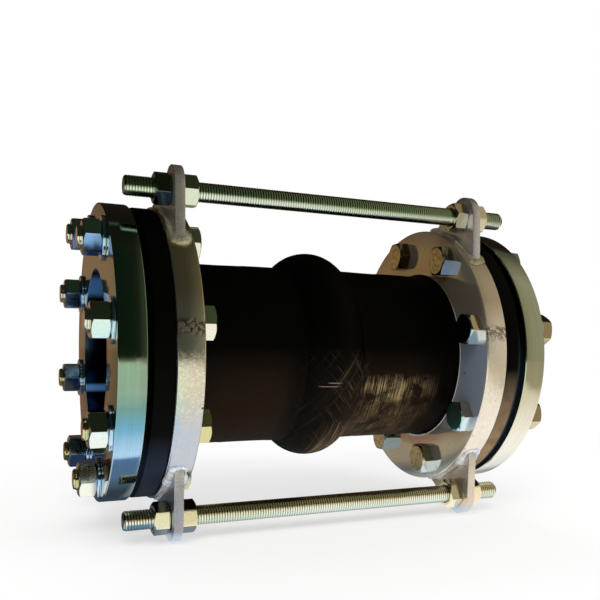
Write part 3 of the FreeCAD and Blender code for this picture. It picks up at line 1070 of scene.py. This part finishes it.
def make_floor():
    """Pale floor: it keeps the object's shadow, and further off it is as white as the background.

    In reflections it glows with painted colours instead: cream in the light, blue and green by the left end, and
    painted shade under the object and behind it.
    """
    low = cad_bounds[0][2] - floor_gap
    floor = mesh_object("floor", [
        (-floor_reach, -floor_reach, low), (floor_reach, -floor_reach, low),
        (floor_reach, floor_reach, low), (-floor_reach, floor_reach, low)], [(0, 1, 2, 3)])
    shader = Shader("pale_floor")
    place = shader.place()
    along, across, up = shader.parts(place)
    offset = shader.node("VectorMath", {0: place, 1: (middle, 0, 0)}, operation="DISTANCE")
    distance = offset.outputs["Value"]
    lit = shader.node("BsdfDiffuse", {0: (0.90, 0.90, 0.90, 1)}).outputs[0]
    white = shader.node("Emission", {0: (1, 1, 1, 1)}).outputs[0]
    bright = shader.span(distance, 0.25, 0.80, floor_lift, 1.0)
    share = shader.math("MULTIPLY", bright, light_path(shader, "Is Camera Ray"))
    seen = shader.node("MixShader", {0: share, 1: lit, 2: white}).outputs[0]

    # What glossy rays see: glowing painted reflections, with painted shade under and behind the object.
    near = shader.span(across, -0.5, 0.0)
    left_front = shader.ramp(near, [
        (0.0, (0.90, 0.97, 0.80)), (0.42, (0.84, 0.96, 0.84)), (0.59, (0.66, 0.90, 1.0)),
        (0.68, (0.90, 0.98, 1.0)), (0.742, (0.98, 1.0, 1.0)), (0.752, (0.17, 0.28, 0.44)),
        (0.83, (0.18, 0.29, 0.42)), (0.92, (0.06, 0.08, 0.09)), (1.0, (0.05, 0.07, 0.09))])
    by_left_face = shader.math("MULTIPLY", shader.span(along, 0.004, -0.003),
                               shader.span(across, -0.02, -0.035))
    by_left_face = shader.math("MULTIPLY", by_left_face, shader.span(across, -0.16, -0.13))
    left_front = shader.mix(by_left_face, left_front, (1.0, 1.0, 0.94))
    right_front = shader.ramp(near, [
        (0.0, (0.92, 0.88, 0.74)), (0.40, (0.88, 0.86, 0.76)), (0.60, (0.98, 0.96, 0.90)),
        (0.82, (1.0, 0.97, 0.90)), (0.92, (0.80, 0.80, 0.80)), (1.0, (0.20, 0.20, 0.22))])
    aside = shader.math("ADD", along, shader.math("MULTIPLY", across, 0.18))
    front = shader.mix(shader.span(aside, 0.022, 0.038), left_front, right_front)
    far_right = shader.math("MULTIPLY", shader.span(along, 0.58, 0.68), shader.span(across, -0.28, -0.40))
    front = shader.mix(far_right, front, (0.46, 0.40, 0.28))
    leftward = shader.span(shader.math("ADD", along, shader.math("MULTIPLY", across, 0.21)), 0.03, -0.03)
    far_left = shader.math("MULTIPLY", shader.span(across, -2.0, -2.8), leftward)
    front = shader.mix(far_left, front, (0.20, 0.14, 0.06))
    behind = shader.ramp(shader.span(across, 0.0, 1.0), [
        (0.0, (0.05, 0.07, 0.09)), (0.12, (0.06, 0.08, 0.10)), (0.20, (0.28, 0.24, 0.17)),
        (0.60, (0.32, 0.27, 0.18)), (1.0, (0.24, 0.19, 0.11))])
    under_rods = shader.math("MULTIPLY", shader.span(along, 0.07, 0.10), shader.span(across, 0.12, 0.06))
    behind = shader.mix(under_rods, behind, (0.34, 0.38, 0.36))
    copper = shader.math("MULTIPLY", shader.span(along, 0.05, -0.01), shader.span(across, 0.15, 0.25))
    behind = shader.mix(copper, behind, (0.22, 0.125, 0.07))
    tinted = shader.mix(shader.math("GREATER_THAN", across, 0.0), front, behind)
    painted_floor_reflection = shader.node("Emission", {0: tinted}).outputs[0]
    glossy = light_path(shader, "Is Glossy Ray", "Is Transmission Ray")
    surface = shader.node("MixShader", {0: glossy, 1: seen, 2: painted_floor_reflection}).outputs[0]
    shader.node("OutputMaterial", {0: surface})
    floor.data.materials.append(shader.material)


def make_world():
    """White background, and a quieter level of soft light from everywhere."""
    world = bpy.data.worlds.new("studio")
    bpy.context.scene.world = world
    world.use_nodes = True
    nodes = world.node_tree.nodes
    links = world.node_tree.links
    nodes.clear()
    ray = nodes.new("ShaderNodeLightPath")
    seen = ray.outputs["Is Camera Ray"]
    for kind in ("Is Glossy Ray", "Is Transmission Ray"):
        either = nodes.new("ShaderNodeMath")
        either.operation = "MAXIMUM"
        links.new(seen, either.inputs[0])
        links.new(ray.outputs[kind], either.inputs[1])
        seen = either.outputs[0]
    strength = nodes.new("ShaderNodeMapRange")
    strength.inputs[3].default_value = soft_light
    strength.inputs[4].default_value = 1.0
    links.new(seen, strength.inputs[0])
    background = nodes.new("ShaderNodeBackground")
    background.inputs[0].default_value = (1, 1, 1, 1)
    links.new(strength.outputs[0], background.inputs[1])
    output = nodes.new("ShaderNodeOutputWorld")
    links.new(background.outputs[0], output.inputs[0])


def make_room():
    """The dim room round the pale floor, seen only in the object's reflections."""
    radius = 6.0
    columns = 64
    rows = 24
    lowest = math.asin(cad_bounds[0][2] / radius)
    vertices = []
    for column in range(columns):
        turn = 2 * math.pi * column / columns
        for row in range(rows + 1):
            rise = lowest + (math.pi / 2 - lowest) * row / rows
            vertices.append((middle + radius * math.cos(rise) * math.cos(turn),
                             radius * math.cos(rise) * math.sin(turn),
                             radius * math.sin(rise)))
    faces = []
    for column in range(columns):
        beside = (column + 1) % columns
        for row in range(rows):
            a = column * (rows + 1) + row
            b = beside * (rows + 1) + row
            faces.append((a, a + 1, b + 1, b))
    room = mesh_object("dim_room", vertices, faces)
    shader = Shader("dim_walls")
    side, back, rise = shader.parts(shader.scaled(shader.place(), 1 / radius, 1 / radius, 1 / radius))
    front_colour = shader.ramp(shader.span(side, -0.5, 0.9), [
        (0.0, (0.008, 0.014, 0.010)), (0.45, (0.012, 0.022, 0.013)), (0.53, (0.024, 0.024, 0.013)),
        (0.60, (0.10, 0.11, 0.07)), (0.72, (0.26, 0.25, 0.16)), (0.80, (0.44, 0.39, 0.28)),
        (1.0, (0.50, 0.46, 0.36))])
    overhead = shader.mix(shader.span(back, -0.2, 0.4), front_colour, (0.018, 0.012, 0.010))
    back_wall = shader.ramp(shader.span(side, -0.9, 0.5), [
        (0.10, (0.010, 0.022, 0.024)), (0.235, (0.03, 0.055, 0.06)), (0.262, (0.20, 0.15, 0.07)),
        (0.30, (0.30, 0.22, 0.10)), (0.54, (0.30, 0.175, 0.10)), (1.0, (0.05, 0.035, 0.025))])
    near_horizon = shader.math("MULTIPLY", shader.span(back, 0.3, 0.6), shader.span(rise, 0.30, 0.12))
    colour = shader.mix(near_horizon, overhead, back_wall)
    # A paler strip high up behind: a painted reflection of a strip light.
    strip_rise = math.radians(68)
    off_strip = shader.math("ABSOLUTE", shader.math(
        "SUBTRACT", shader.math("MULTIPLY", back, math.sin(strip_rise)),
        shader.math("MULTIPLY", rise, math.cos(strip_rise))))
    strip = shader.span(off_strip, 0.040, 0.012)
    colour = shader.mix(strip, colour, (0.09, 0.125, 0.10))
    shader.node("OutputMaterial", {0: shader.node("Emission", {0: colour}).outputs[0]})
    room.data.materials.append(shader.material)
    room.visible_camera = False
    room.visible_diffuse = False
    room.visible_shadow = False
    room.visible_transmission = False


def soft_lamp(name, place, aim, size, power, colour, in_reflections=False):
    lamp = bpy.data.lights.new(name, "AREA")
    lamp.shape = "RECTANGLE"
    lamp.size, lamp.size_y = size
    lamp.energy = power
    lamp.color = colour
    holder = bpy.data.objects.new(name, lamp)
    bpy.context.scene.collection.objects.link(holder)
    holder.location = place
    holder.rotation_euler = (Vector(aim) - Vector(place)).to_track_quat("-Z", "Y").to_euler()
    holder.visible_camera = False
    holder.visible_glossy = in_reflections


def make_lamps():
    aim = (middle, 0, 0)
    soft_lamp("key", (-0.6, -1.6, 1.8), aim, (1.6, 1.2), 38, (1.0, 0.98, 0.95))
    soft_lamp("fill", (1.6, -1.2, 0.9), aim, (1.2, 1.2), 14, (0.95, 0.98, 1.0))
    soft_lamp("back", (0.3, 1.8, 1.6), aim, (1.6, 1.0), 22, (1.0, 1.0, 1.0))


def make_camera():
    """The photograph's viewpoint: close to the left end, level with the pipe."""
    image_width = 600
    focal_pixels = 744.392
    centre_pixel = (338.26, 372.9)
    sensor = 0.036
    yaw, pitch, roll = 0.439, -0.056, -0.021
    forward = Vector((math.sin(yaw) * math.cos(pitch), math.cos(yaw) * math.cos(pitch), math.sin(pitch)))
    level_right = Vector((math.cos(yaw), -math.sin(yaw), 0))
    level_down = forward.cross(level_right)
    right = math.cos(roll) * level_right + math.sin(roll) * level_down
    down = -math.sin(roll) * level_right + math.cos(roll) * level_down
    lens = bpy.data.cameras.new("camera")
    lens.sensor_width = sensor * 1000
    lens.lens = focal_pixels / image_width * lens.sensor_width
    lens.shift_x = (image_width / 2 - centre_pixel[0]) / image_width
    lens.shift_y = (centre_pixel[1] - image_width / 2) / image_width
    lens.clip_start = 0.01
    camera = bpy.data.objects.new("camera", lens)
    turn = Matrix((right, -down, -forward)).transposed().to_4x4()
    camera.matrix_world = Matrix.Translation((-0.092256, -0.750975, 0.025956)) @ turn
    bpy.context.scene.collection.objects.link(camera)
    bpy.context.scene.camera = camera


# Putting it together

def dress(made, node, body, materials):
    """Gives a piece its finishes and its body, and hides the node that it stands for."""
    for material in materials:
        made.data.materials.append(material)
    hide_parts(node)
    if body:
        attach(made, body)


def both_ends(piece, name, slot, left_materials, right_materials=None):
    """Dresses the piece at the left end and its mirror image at the right end."""
    right = mirrored(piece, "right_" + name + "_shown")
    piece.name = "left_" + name + "_shown"
    dress(piece, "left_" + name, "left_end", left_materials)
    dress(right, "right_" + name, "right_end", right_materials or left_materials)


def build():
    # The mating flanges' tints, from the bottom up, are painted reflections.
    left_zinc = mating_steel("left_turned_zinc", [
        (0.42, 0.50, 0.56), (0.45, 0.55, 0.66), (0.46, 0.70, 0.96), (0.24, 0.50, 0.64),
        (0.20, 0.38, 0.37), (0.30, 0.44, 0.36), (0.33, 0.47, 0.37), (0.31, 0.43, 0.33)])
    right_zinc = mating_steel("right_turned_zinc", [
        (1.00, 0.99, 0.92), (1.00, 0.98, 0.90), (1.00, 0.97, 0.88), (0.90, 0.84, 0.71),
        (0.80, 0.75, 0.59), (0.76, 0.73, 0.56), (0.60, 0.64, 0.50), (0.54, 0.58, 0.44)])
    left_coat = backing_steel("left_coated_steel", (0.80, 0.75, 0.62), (0.58, 0.64, 0.77),
                              (0.44, 0.36, 0.21), 0.96, 0.09)
    right_coat = backing_steel("right_coated_steel", (1.00, 0.90, 0.77), (1.00, 0.93, 0.82),
                               (0.52, 0.42, 0.29), 0.86, 0.16)
    ears = ear_steel()
    welds = weld_steel()
    # The fasteners' facet tints below are painted reflections and painted shade.
    cool = ((0.28, 0.46, 0.95), (0.60, 0.75, 0.90), (0.80, 0.92, 0.80))
    left_nuts = fastener_steel(
        "left_nut_zinc", ((0.96, 1.0, 0.93), (0.96, 1.0, 0.93), (0.68, 0.58, 0.43)), cool, high_or_behind)
    right_nuts = fastener_steel(
        "right_nut_zinc", ((0.78, 0.64, 0.41), (0.52, 0.43, 0.26), (0.32, 0.26, 0.15)),
        ((0.20, 0.24, 0.16), (0.20, 0.24, 0.16), (0.20, 0.22, 0.15)), high_up)
    left_bolts = fastener_steel(
        "left_bolt_zinc", ((0.96, 0.93, 0.80), (0.94, 0.92, 0.80), (0.70, 0.86, 0.62)),
        ((0.76, 0.72, 0.38), (0.76, 0.72, 0.38), (0.70, 0.74, 0.36)), low_down)
    right_bolts = fastener_steel(
        "right_bolt_zinc", ((0.72, 0.88, 1.0), (0.80, 0.76, 0.60), (0.66, 0.56, 0.36)),
        ((0.26, 0.46, 1.0), (0.30, 0.32, 0.30), (0.26, 0.24, 0.18)), high_up, (0.88, 0.74, 0.52))
    washers = fastener_steel(
        "washer_zinc", ((0.74, 0.86, 1.0), (0.60, 0.76, 1.0), (0.60, 0.70, 0.80)))
    rod_nut_zinc = {
        "left_outer": fastener_steel(
            "left_outer_nut_zinc", ((0.06, 0.10, 0.17), (0.94, 0.88, 0.62), (0.12, 0.12, 0.08)),
            ((0.09, 0.19, 0.44), (0.16, 0.20, 0.14), (0.40, 0.50, 0.36)), high_up),
        "left_inner": fastener_steel(
            "left_inner_nut_zinc", ((0.06, 0.10, 0.17), (0.94, 0.88, 0.60), (0.12, 0.12, 0.08)),
            ((0.82, 0.92, 0.80), (0.82, 0.92, 0.80), (0.50, 0.62, 0.46)), high_up),
        "right_inner": fastener_steel(
            "right_inner_nut_zinc", ((1.00, 0.94, 0.76), (0.96, 0.88, 0.66), (0.80, 0.68, 0.44)),
            ((0.62, 0.66, 0.66), (0.92, 0.84, 0.66), (0.74, 0.60, 0.38)), high_up),
        "right_outer": fastener_steel(
            "right_outer_nut_zinc", ((1.00, 0.88, 0.62), (1.00, 0.88, 0.62), (0.80, 0.66, 0.42)),
            ((0.94, 0.88, 0.74), (0.94, 0.88, 0.74), (0.80, 0.72, 0.56)), high_up),
    }

    both_ends(mating_flange(), "mating_flange", "zinc_flange_steel", [left_zinc], [right_zinc])
    both_ends(backing_flange(), "backing_flange", "backing_flange_steel", [left_coat], [right_coat])
    both_ends(flange_bolts(), "flange_bolts", "bolt_steel", [left_bolts], [right_bolts])
    both_ends(flange_washers(), "flange_washers", "washer_steel", [washers])
    near_nuts = flange_nuts("left_flange_nuts_shown", left_nut_turns)
    dress(near_nuts, "left_flange_nuts", "left_end", [left_nuts])
    at_left_end = flange_nuts("nuts", right_nut_turns)
    far_nuts = mirrored(at_left_end, "right_flange_nuts_shown")
    bpy.data.objects.remove(at_left_end)
    dress(far_nuts, "right_flange_nuts", "right_end", [right_nuts])
    rod_nut_spans = {
        "outer": (outer_rod_nut_start, outer_rod_nut_end),
        "inner": (inner_rod_nut_start, inner_rod_nut_end),
    }
    for row, span in rod_nut_spans.items():
        left = rod_nuts("left_" + row, *span)
        at_left_end = rod_nuts("right_" + row, *span)
        right = mirrored(at_left_end, "right_" + row + "_nuts_shown")
        bpy.data.objects.remove(at_left_end)
        dress(left, "left_" + row + "_rod_nuts", "left_end",
              [rod_nut_zinc["left_" + row]])
        dress(right, "right_" + row + "_rod_nuts", "right_end",
              [rod_nut_zinc["right_" + row]])
    # Rod tints from underside to top are painted reflections.
    rod_tints = {
        "rear": [(0.66, 0.72, 0.62)] * 8,
        "upper": [(0.30, 0.36, 0.32), (0.72, 0.92, 1.0), (0.94, 1.0, 1.0), (0.90, 0.96, 0.88),
                  (0.56, 0.68, 0.54), (0.60, 0.78, 0.60), (0.52, 0.72, 0.50), (0.90, 0.80, 0.52)],
        "lower": [(0.34, 0.34, 0.28), (0.44, 0.46, 0.42), (0.74, 0.86, 0.90), (0.80, 0.94, 0.92),
                  (0.94, 0.97, 0.80), (1.0, 0.95, 0.74), (1.0, 0.88, 0.58), (1.0, 0.92, 0.64)],
    }
    weld_runs = {"lower": ((True, -10, 5.0), (True, 8, 5.0), (False, -9, 12.0))}
    for seed, (place, angle) in enumerate(rod_angles.items()):
        bracket = ear("ear", angle, seed * 7.3, -0.35 if place == "lower" else 0.25, weld_runs.get(place, ()))
        both_ends(bracket, "ear_" + place, "ear_steel", [ears, welds])
        rod = threaded_bar("tie_rod_" + place + "_shown", rod_start, rod_end, rod_radius,
                           chamfers=(rod_left_chamfer, rod_right_chamfer))
        on_circle(rod, rod_circle_radius, angle)
        finish = rod_steel("rod_zinc_" + place, angle, rod_tints[place], 0.6 if place == "lower" else 0.0)
        dress(rod, "tie_rod_" + place, "left_end", [finish])

    rubber = rubber_body()
    rubber.name = "rubber_body_shown"
    dress(rubber, "rubber_body", None, [black_rubber()])
    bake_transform(rubber)


make_camera()
build()
make_floor()
make_world()
make_room()
make_lamps()
bpy.context.scene.view_settings.view_transform = "Standard"
